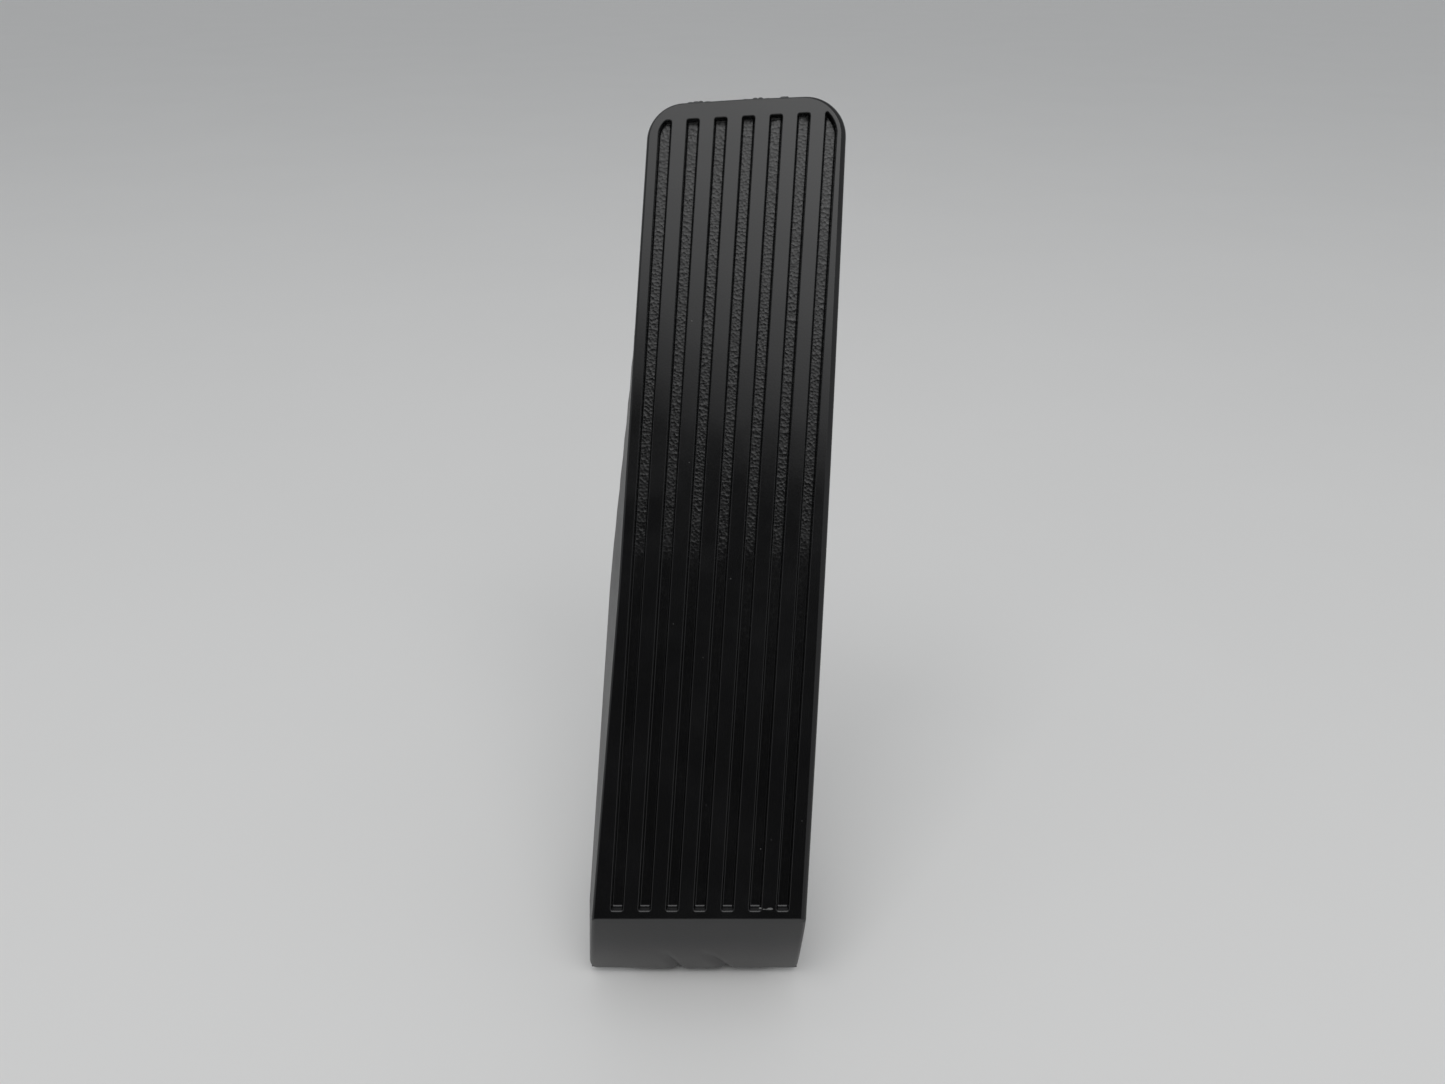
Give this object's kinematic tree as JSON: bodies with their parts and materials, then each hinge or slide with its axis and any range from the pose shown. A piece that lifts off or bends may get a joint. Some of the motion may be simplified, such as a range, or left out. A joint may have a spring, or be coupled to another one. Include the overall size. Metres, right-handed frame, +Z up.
{
  "type": "accelerator pedal",
  "caption": "Floor-hinged foot pedal with a long grooved rubber tread, side skirts and a folded toe lip, on a sprung hinge bracket, with a push roller behind it.",
  "frame": {"origin": "centre of the floor pad's underside", "axes": "+Z up from the floor, +X along the hinge axis to the right as seen from the driver's side, +Y from the toe lip towards the back of the foot plate"},
  "size_m": [0.0727, 0.1135, 0.2285],
  "materials": {
    "tread_rubber": "semi-gloss moulded black rubber, stippled groove floors",
    "pad_rubber": "matt black rubber",
    "painted_steel": "satin black painted pressed steel",
    "plated_steel": "yellow-passivated zinc plate",
    "bright_steel": "ground bright steel",
    "clip_steel": "phosphated spring steel",
    "rivet_steel": "plain zinc-plated steel",
    "spring_steel": "oiled spring wire",
    "nylon": "natural nylon"
  },
  "bodies": {
    "base": {"floor_bracket": "painted_steel", "floor_pad": "pad_rubber", "hinge_bush_left": "nylon", "hinge_bush_right": "nylon", "stop_buffer_left": "pad_rubber", "stop_buffer_right": "pad_rubber", "return_spring": "spring_steel"},
    "pedal": {"tread_cover": "tread_rubber", "pedal_plate": "painted_steel", "hinge_yoke": "plated_steel", "yoke_rivet_1": "rivet_steel", "yoke_rivet_2": "rivet_steel", "yoke_rivet_3": "rivet_steel", "yoke_rivet_4": "rivet_steel", "hinge_pin": "bright_steel", "hinge_clip_left": "clip_steel", "hinge_clip_right": "clip_steel", "spring_sleeve": "nylon", "roller_bracket": "plated_steel", "roller_rivet_1": "rivet_steel", "roller_rivet_2": "rivet_steel", "roller_pin": "bright_steel", "roller_pin_clip": "clip_steel"},
    "roller": {"roller": "nylon"}
  },
  "joints": [
    {"name": "pedal_hinge", "type": "hinge", "parent": "base", "child": "pedal", "pos_m": [0, -0.04301, 0.02079], "axis": [-1, 0, 0], "range_deg": [0, 18], "stiffness_Nm_per_rad": 2, "springref_deg": -28.65, "deforming": ["return_spring"]},
    {"name": "roller_spin", "type": "hinge", "parent": "pedal", "child": "roller", "pos_m": [0.00864, 0.02794, 0.15295], "axis": [1, 0, 0], "continuous": true}
  ]
}
